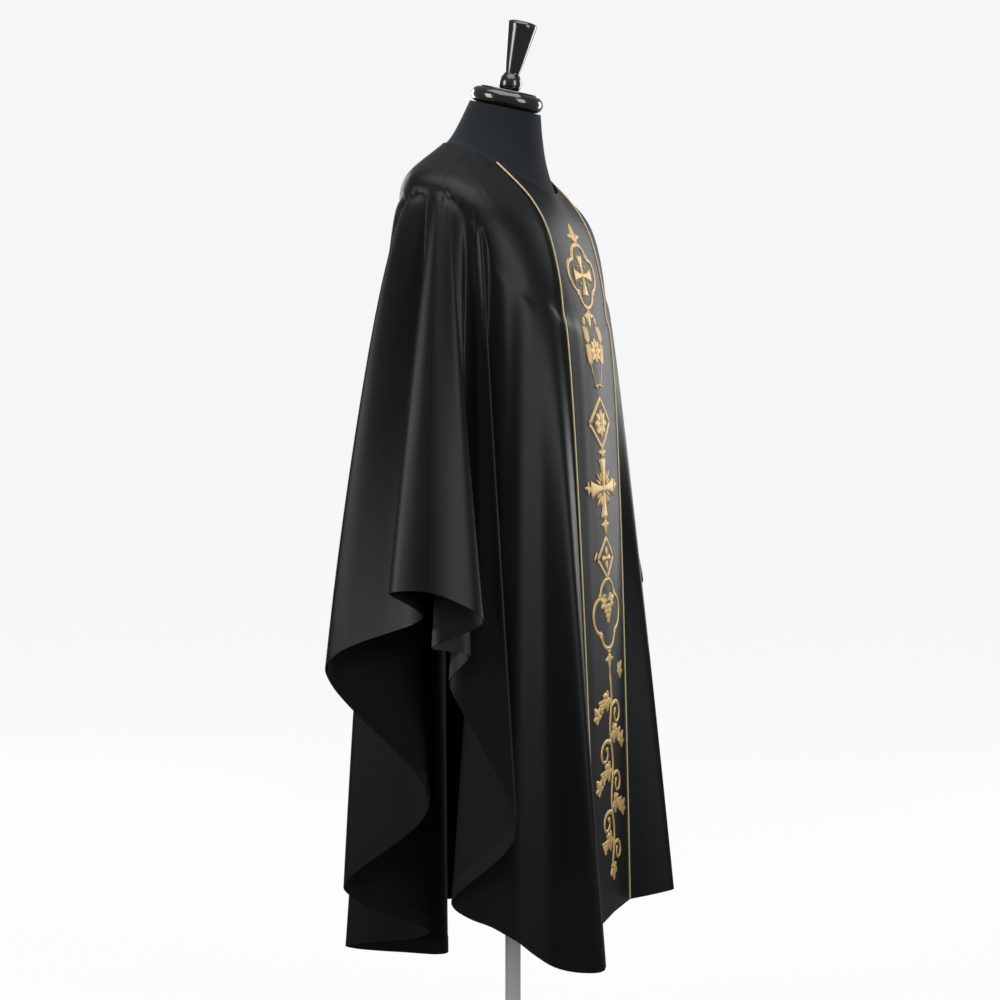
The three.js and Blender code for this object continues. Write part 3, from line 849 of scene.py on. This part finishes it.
def even_cross(pattern, y, reach, root, end):
    """An even-armed cross whose arms widen outwards, edged in dark gold."""
    t = np.linspace(0, 1, 12)
    for k in range(4):
        way = np.array((math.cos(math.pi * k / 2), math.sin(math.pi * k / 2)))
        aside = np.array((-way[1], way[0]))
        points = np.array((0, y)) + way * (reach * (0.06 + 0.94 * t))[:, None]
        widths = root + (end - root) * t ** 1.8
        pattern.line(points, widths)
        for side in (-1, 1):
            pattern.line(points[1:] + aside * (side * (widths[1:] + 0.7))[:, None], 0.55, True)
        pattern.line([points[-1] + aside * s * (end + 1) for s in np.linspace(-1, 1, 6)], 0.55, True)
        pattern.line(points[2:-2], 0.35, True, 1.8)
    pattern.dot(0, y, root * 1.5)


def fleur(pattern, x, y, turn, size):
    """A three-petalled lily that points towards turn."""
    way = np.array((math.cos(math.radians(turn)), math.sin(math.radians(turn))))
    aside = np.array((-way[1], way[0]))
    foot = np.array((x, y))
    pattern.leaf(*foot, turn, size, size * 0.15, vein=True)
    for side in (-1, 1):
        root = foot + aside * side * size * 0.06
        pattern.leaf(*root, turn + side * 8, size * 0.78, size * 0.1, bend=side * 125)
        tail = turn + 180 - side * 30
        pattern.leaf(*(foot + aside * side * 0.5), tail, size * 0.3, size * 0.06, bend=-side * 50)
    tie = [foot + way * size * 0.1 + aside * s * size * 0.2 for s in np.linspace(-1, 1, 6)]
    pattern.line(tie, size * 0.05, height=1.5)


def rosette(pattern, y, petals, size):
    for k in range(petals):
        turn = 360 * k / petals - 90
        way = np.radians(turn)
        root = (size * 0.2 * math.cos(way), y + size * 0.2 * math.sin(way))
        pattern.leaf(*root, turn, size * 0.8, size * 0.2, vein=True)
    pattern.dot(0, y, size * 0.19)


def lozenge(pattern, y, half_width, half_height, width):
    top = (0, y - half_height)
    corners = [top, (half_width, y), (0, y + half_height), (-half_width, y), top]
    for a, b in zip(corners, corners[1:]):
        ends = np.linspace(0, 1, 8)[:, None]
        side = np.array(a) + (np.array(b) - np.array(a)) * ends
        pattern.line(side, width)
        inner = (side - (0, y)) * (1 - 3.4 / min(half_width, half_height)) + (0, y)
        pattern.line(inner, 0.4, True)


def wheat(pattern, x, y, turn, length, bend, grains=7):
    """An ear of wheat: a bending stem with grains in pairs and one at its tip."""
    turns = turn + bend * np.linspace(0, 1, 16)
    stem = winding(x, y, turns, length)
    pattern.line(stem, 1.3)
    for k in range(grains):
        i = 6 + int(9 * k / grains)
        for side in (-1, 1):
            pattern.leaf(*stem[i], turns[i] + side * 34, length * 0.13, length * 0.026, bend=-side * 18)
    pattern.leaf(*stem[-1], turns[-1], length * 0.15, length * 0.026)


def grapes(pattern, x, y, size):
    for row, count in enumerate((4, 3, 2, 1)):
        for k in range(count):
            pattern.dot(x + (k - (count - 1) / 2) * size * 1.9, y + row * size * 1.65, size)


def vine_leaf(pattern, x, y, turn, size):
    for spread, reach in ((0, 1.0), (-48, 0.8), (48, 0.8), (-100, 0.5), (100, 0.5)):
        pattern.leaf(x, y, turn + spread, size * reach, size * 0.19 * reach + 0.4, vein=True)


def orphrey_pattern():
    """The whole design, from the neckline down: general church ornament in a layout of its own."""
    p = Pattern()
    fleur(p, 0, 86, -90, 34)
    quatrefoil(p, 138, 25, 26, 3.2)
    even_cross(p, 138, 32, 3.4, 12)
    for k in range(4):
        corner = math.radians(45 + 90 * k)
        p.dot(19 * math.cos(corner), 138 + 19 * math.sin(corner), 2.0)
    fleur(p, 0, 192, 90, 30)
    for side in (-1, 1):
        wheat(p, side * 5, 318, -90 + side * 30, 104, -side * 42)
    p.line([(x, 312 + 0.02 * x * x) for x in np.linspace(-12, 12, 7)], 1.8, height=1.6)
    rosette(p, 258, 8, 20)
    lozenge(p, 372, 40, 40, 3.4)
    rosette(p, 372, 8, 22)
    even_cross(p, 474, 46, 4.6, 15)
    for k in range(4):
        turn = 90 * k
        way = math.radians(turn)
        fleur(p, 49 * math.cos(way), 474 + 49 * math.sin(way), turn, 17 if k % 2 == 0 else 24)
        for spread in (-17, 0, 17):
            ray = 45 + turn + spread
            foot = math.radians(ray)
            p.leaf(13 * math.cos(foot), 474 + 13 * math.sin(foot), ray, 24 if spread == 0 else 17, 1.8)
    lozenge(p, 584, 32, 32, 3.2)
    rosette(p, 584, 4, 18)
    p.both([(8 + 36 * t, 584 - 16 * math.sin(math.pi * t)) for t in np.linspace(0.75, 1, 8)], 1.8)
    quatrefoil(p, 672, 27, 28, 3.2)
    grapes(p, 0, 660, 4.6)
    for side in (-1, 1):
        vine_leaf(p, side * 12, 655, -90 + side * 60, 19)
        p.scroll(side * 3, 652, -90 + side * 12, 34, side * 260, 1.1)
    fleur(p, 0, 735, 90, 26)
    for step, (y, side) in enumerate(((800, 1), (856, -1), (912, 1), (968, -1), (1022, 1))):
        p.scroll(0, y + 22, -90 + side * 62, 104 - 5 * step, side * 355, 2.9)
        vine_leaf(p, side * 48, y - 26, -90 + side * 38, 23)
        vine_leaf(p, -side * 9, y + 4, 90 + side * 62, 27)
        grapes(p, -side * 34, y + 6, 3.2)
        twig = [(-side * (3 + 29 * t), y + 8 - 9 * math.sin(math.pi * t)) for t in np.linspace(0, 1, 9)]
        p.line(twig, 0.9)
    p.line([(4.5 * math.sin(2 * math.pi * (y - 772) / 112), y) for y in np.linspace(772, 1078, 60)], 3.2)
    wheat(p, 0, 786, -90, 34, 0, 5)
    vine_leaf(p, 0, 1074, 90, 24)
    return p


def lay_strokes(cloth, strokes, height, base):
    """Lays padded strokes on the band: points, faces, which are outlines, and their UVs."""
    places = band_columns(cloth, "orphrey edge")
    grid = cloth.grid[places]
    normals = cloth.normals[places]
    middle = int(np.argmin(np.abs(grid[:, -1, 0])))
    steps = np.linalg.norm(np.diff(grid, axis=0), axis=-1)
    along = np.concatenate((np.zeros((1, grid.shape[1])), np.cumsum(steps, axis=0)))
    reach = along - along[middle]
    if grid[-1, -1, 0] < grid[0, -1, 0]:
        reach = -reach[::-1]
        grid, normals = grid[::-1], normals[::-1]
    fall = cloth.length[places][middle]
    columns = np.arange(len(grid))
    section = np.array([(-1, 0.12), (-0.62, 0.74), (0, 1), (0.62, 0.74), (1, 0.12), (1, -0.4), (-1, -0.4)])
    points, faces, dark_faces, uvs = [], [], [], []
    for path, widths, dark, swell in strokes:
        tangent = unit(np.gradient(path, axis=0))
        aside = np.stack((-tangent[:, 1], tangent[:, 0]), axis=-1)
        run = np.concatenate(([0], np.cumsum(np.linalg.norm(np.diff(path, axis=0), axis=1))))
        pad = height * swell * np.clip(widths / 1.6, 0.55, 1.15)
        first = len(points)
        for i in range(len(path)):
            for share, rise in section:
                u, v = path[i] + aside[i] * share * widths[i]
                level = float(np.interp(v, fall, np.arange(len(fall))))
                low = min(int(level), len(fall) - 2)
                part = level - low
                row = reach[:, low] * (1 - part) + reach[:, low + 1] * part
                c = float(np.interp(u, row, columns))
                left = min(int(c), len(grid) - 2)
                side = c - left
                weights = ((1 - side) * (1 - part), side * (1 - part), (1 - side) * part, side * part)
                corners = ((left, low), (left + 1, low), (left, low + 1), (left + 1, low + 1))
                spot = sum(w * grid[k] for w, k in zip(weights, corners))
                out = sum(w * normals[k] for w, k in zip(weights, corners))
                lift = base + (pad[i] * rise if rise > 0 else rise)
                points.append(spot + unit(out) * lift)
                uvs.append((run[i] * MM, share * widths[i] * MM))
        own = tube_faces(len(path), len(section), first)
        faces += own
        dark_faces += [int(dark)] * len(own)
    return np.array(points), faces, dark_faces, np.array(uvs)


class Embroider(bpy.types.Operator):
    """Gold satin stitch on the orphrey, in padded strokes with dark gold outlines"""
    bl_idname = "chasuble.embroider"
    bl_label = "Embroider the orphrey"

    def execute(self, context):
        look = context.scene.chasuble
        strokes = orphrey_pattern().strokes
        base = BAND_LIFT + BAND_THICKNESS / 2
        points, faces, dark, uvs = lay_strokes(drape(), strokes, look.stitch_height / MM, base)
        piece = new_mesh("embroidery", points, faces,
                         (material_named("gold stitch"), material_named("dark gold stitch")), dark, uvs)
        outward(piece)
        settle(piece, "gold_cord")
        return {"FINISHED"}


def only(piece):
    bpy.ops.object.select_all(action="DESELECT")
    piece.select_set(True)
    bpy.context.view_layer.objects.active = piece


def outward(piece):
    """Turns all faces of a closed piece outwards."""
    only(piece)
    bpy.ops.object.mode_set(mode="EDIT")
    bpy.ops.mesh.select_all(action="SELECT")
    bpy.ops.mesh.normals_make_consistent(inside=False)
    bpy.ops.object.mode_set(mode="OBJECT")


# The form and its stand

def form_surface(rings, sides):
    last = len(FORM_RINGS) - 1
    points = [
        form_point(360 * k / sides, last * i / (rings - 1)) for i in range(rings) for k in range(sides)
    ]
    return points, tube_faces(rings, sides)


class BuildForm(bpy.types.Operator):
    """The limbless form in its stretched jersey cover"""
    bl_idname = "chasuble.build_form"
    bl_label = "Build the form"

    def execute(self, context):
        points, faces = form_surface(14 * 8, 144)
        piece = new_mesh("form_body", points, faces, (material_named("jersey"),))
        only(piece)
        bpy.ops.object.shade_smooth_by_angle(angle=math.radians(50))
        settle(piece, "jersey", "form_torso")
        return {"FINISHED"}


def turn_piece(name, profile, sides, material, place=Matrix()):
    """A turned piece: a disc is drawn up ring by ring along a profile of radius and height."""
    bpy.ops.object.select_all(action="DESELECT")
    radius, height = profile[0]
    foot = (0, 0, height * MM)
    bpy.ops.mesh.primitive_circle_add(vertices=sides, radius=radius * MM, fill_type="NGON", location=foot)
    piece = bpy.context.object
    piece.name = name
    bpy.ops.object.transform_apply(location=True, rotation=True, scale=True)
    bpy.ops.object.mode_set(mode="EDIT")
    bpy.ops.mesh.select_all(action="SELECT")
    for next_radius, next_height in profile[1:]:
        rise = (0, 0, (next_height - height) * MM)
        bpy.ops.mesh.extrude_region_move(TRANSFORM_OT_translate={"value": rise})
        ratio = next_radius / radius
        bpy.ops.transform.resize(value=(ratio, ratio, 1))
        radius, height = next_radius, next_height
    bpy.ops.mesh.select_all(action="SELECT")
    bpy.ops.mesh.normals_make_consistent(inside=False)
    bpy.ops.object.mode_set(mode="OBJECT")
    bpy.ops.object.shade_smooth_by_angle(angle=math.radians(38))
    piece.data.transform(place)
    piece.data.materials.append(material)
    return piece


def rounded(profile, steps):
    """More rings on a smooth curve through a profile's points."""
    places = [0.0]
    for (r0, z0), (r1, z1) in zip(profile, profile[1:]):
        places.append(places[-1] + math.sqrt(math.hypot(r1 - r0, z1 - z0)))
    spots = np.linspace(0, places[-1], steps)
    radii = [max(0.05, through(places, [r for r, _ in profile], s)) for s in spots]
    heights = [through(places, [z for _, z in profile], s) for s in spots]
    return list(zip(radii, heights))


CAP_RADIUS = 58.0
CAP_THICKNESS = 25.0
CAP_TOP_RADIUS = 45.0
CAP_TOP = 2.5
FIT = 0.3


def top_place(height):
    """Where the cap stands on the form's neck, which leans back."""
    neck = ring_values(0)
    lean = math.atan2(neck["backZ"] - neck["frontZ"], neck["backY"] - neck["frontY"])
    place = Matrix.Translation(Vector((0, neck["sideY"], neck["sideZ"] + FIT)) * MM)
    return place @ Matrix.Rotation(lean, 4, "X") @ Matrix.Translation(Vector((0, 0, height * MM)))


class TurnCap(bpy.types.Operator):
    """The turned neck cap and its finial, in gloss black lacquer"""
    bl_idname = "chasuble.turn_cap"
    bl_label = "Turn the cap"

    def execute(self, context):
        lacquer = material_named("lacquer")
        edge = CAP_THICKNESS / 2
        inner = CAP_RADIUS - edge
        turns = np.linspace(0, math.pi, 15)
        roll = [(inner + edge * math.sin(a), edge - edge * math.cos(a)) for a in turns]
        height = CAP_THICKNESS + CAP_TOP
        top = [(inner - 1.5, CAP_THICKNESS - 0.4), (CAP_TOP_RADIUS - 0.4, CAP_THICKNESS + 0.6)]
        top += [(CAP_TOP_RADIUS - 1.2, height - 0.4), (CAP_TOP_RADIUS - 2, height)]
        profile = [(inner - 3, 0)] + roll + top + [(24, height), (2, height)]
        cap = turn_piece("cap", profile, 96, lacquer, top_place(0))
        settle(cap, "turned_wood", "neck_cap")
        knob = [(10, 0), (14, 0.3), (17.2, 4), (18, 10), (16.5, 17), (13.2, 23), (11.5, 26.5), (12.1, 29.5)]
        shaft = [(13.4, 36), (15.6, 50), (18.6, 70), (21.6, 90), (23.2, 100), (23.0, 103.6), (20.6, 106.6)]
        profile = rounded(knob + shaft + [(14, 108.4), (1, 109)], 64)
        finial = turn_piece("finial", profile, 64, lacquer, top_place(height + FIT))
        settle(finial, "turned_wood", "neck_finial")
        return {"FINISHED"}


POLE_RADIUS = 12.5
BASE_RADIUS = 175.0
BASE_HEIGHT = 9.0


class BuildStand(bpy.types.Operator):
    """The pole, its collar and the round base"""
    bl_idname = "chasuble.build_stand"
    bl_label = "Build the stand"

    def execute(self, context):
        metal = material_named("metal")
        foot = BASE_HEIGHT + FIT
        top = ring_values(len(FORM_RINGS) - 1)["sideZ"] - FIT
        profile = [(POLE_RADIUS - 0.5, foot), (POLE_RADIUS, foot + 0.5)]
        profile += [(POLE_RADIUS, z) for z in np.linspace(foot + 20, top - 20, 12)]
        pole = turn_piece("stand_pole", profile + [(POLE_RADIUS, top)], 64, metal)
        settle(pole, "stand_metal", "pole")
        bore = POLE_RADIUS + 0.05
        rings = ((17.5, 0), (18, 0.8), (17.6, 4), (15, 8), (10, 12), (7.6, 18), (6.2, 32.5), (5.2, 34))
        profile = [(bore + radius, foot + height) for radius, height in rings]
        collar = turn_piece("stand_collar", profile, 64, metal)
        settle(collar, "stand_metal", "base_collar")
        profile = [(BASE_RADIUS - 1, 0), (BASE_RADIUS, 1), (BASE_RADIUS, 5), (BASE_RADIUS - 1, 6.4)]
        profile += [(BASE_RADIUS - 3.4, 8.1), (BASE_RADIUS - 7, BASE_HEIGHT), (40, BASE_HEIGHT)]
        base = turn_piece("stand_base", profile, 128, metal)
        settle(base, "stand_metal", "base_plate")
        return {"FINISHED"}


# The stage

def area_light(name, place, target, size, power):
    light = bpy.data.lights.new(name, "AREA")
    light.shape = "RECTANGLE"
    light.size, light.size_y = size
    light.energy = power
    lamp = bpy.data.objects.new(name, light)
    bpy.context.scene.collection.objects.link(lamp)
    lamp.location = place
    lamp.rotation_euler = (Vector(target) - Vector(place)).to_track_quat("-Z", "Y").to_euler()


LAMPS = (
    ("window_left", (-2.6, 1.9, 1.9), (0, 0, 0.9), (1.2, 2.4), 80),
    ("window_front", (-1.0, -3.4, 1.9), (0, 0, 0.9), (1.6, 2.4), 70),
    ("ceiling", (-0.4, -0.4, 3.6), (0, 0, 1.0), (2.4, 2.4), 60),
    ("right", (3.2, -1.2, 1.6), (0, 0, 0.9), (1.0, 2.2), 40),
    ("behind", (1.8, 2.8, 1.8), (0, 0, 0.9), (1.4, 2.2), 40),
)
BACKDROP = (0.92, 0.92, 0.935, 1)


class SetStage(bpy.types.Operator):
    """Pale floor, soft studio light and the camera"""
    bl_idname = "chasuble.set_stage"
    bl_label = "Set the stage"

    def execute(self, context):
        scene = context.scene
        bpy.ops.object.select_all(action="DESELECT")
        bpy.ops.mesh.primitive_circle_add(
            vertices=96, radius=14, fill_type="NGON", location=(0, 0, -0.0005))
        floor = bpy.context.object
        floor.name = "floor"
        pale, _, bsdf = shader("Pale floor", (0.05, 0.05, 0.05), 1.0, {"Specular IOR Level": 0.0})
        bsdf.inputs["Emission Color"].default_value = BACKDROP
        bsdf.inputs["Emission Strength"].default_value = 1.0
        floor.data.materials.append(pale)
        floor.visible_glossy = False
        floor.visible_diffuse = False

        world = bpy.data.worlds.new("Studio")
        world.use_nodes = True
        tree = world.node_tree
        seen = node(tree, "ShaderNodeBackground")
        seen.inputs["Color"].default_value = BACKDROP
        room = tree.nodes["Background"]
        room.inputs["Color"].default_value = (1, 1, 1, 1)
        room.inputs["Strength"].default_value = 0.2
        paths = node(tree, "ShaderNodeLightPath")
        mix = node(tree, "ShaderNodeMixShader")
        tree.links.new(paths.outputs["Is Camera Ray"], mix.inputs[0])
        tree.links.new(room.outputs[0], mix.inputs[1])
        tree.links.new(seen.outputs[0], mix.inputs[2])
        tree.links.new(mix.outputs[0], tree.nodes["World Output"].inputs["Surface"])
        scene.world = world

        for lamp in LAMPS:
            area_light(*lamp)

        scene.view_settings.view_transform = "Standard"
        lens = bpy.data.cameras.new("camera")
        lens.lens = 78.73
        lens.sensor_width = 36
        lens.clip_start = 0.05
        camera = bpy.data.objects.new("camera", lens)
        scene.collection.objects.link(camera)
        camera.location = (-3.181, -1.460, 1.218)
        camera.rotation_euler = (math.radians(85.95), 0, math.radians(-65))
        scene.camera = camera
        return {"FINISHED"}


OPERATORS = (DrapeCloth, LayOrphrey, Embroider, BuildForm, TurnCap, BuildStand, SetStage)


class ChasublePanel(bpy.types.Panel):
    """Sizes, colours and building steps of the chasuble"""
    bl_idname = "VIEW3D_PT_chasuble"
    bl_label = "Chasuble"
    bl_space_type = "VIEW_3D"
    bl_region_type = "UI"
    bl_category = "Chasuble"

    def draw(self, context):
        look = context.scene.chasuble
        for key in Sizes.__annotations__:
            self.layout.prop(look, key)
        for step in OPERATORS:
            self.layout.operator(step.bl_idname)


def register():
    for kind in (Sizes, *OPERATORS, ChasublePanel):
        bpy.utils.register_class(kind)
    bpy.types.Scene.chasuble = bpy.props.PointerProperty(type=Sizes)


def unregister():
    del bpy.types.Scene.chasuble
    for kind in reversed((Sizes, *OPERATORS, ChasublePanel)):
        bpy.utils.unregister_class(kind)


def main():
    register()
    bpy.ops.chasuble.build_form()
    bpy.ops.chasuble.drape_cloth()
    bpy.ops.chasuble.lay_orphrey()
    bpy.ops.chasuble.embroider()
    bpy.ops.chasuble.turn_cap()
    bpy.ops.chasuble.build_stand()
    bpy.ops.chasuble.set_stage()
    bpy.context.view_layer.update()


if __name__ == "__main__":
    main()
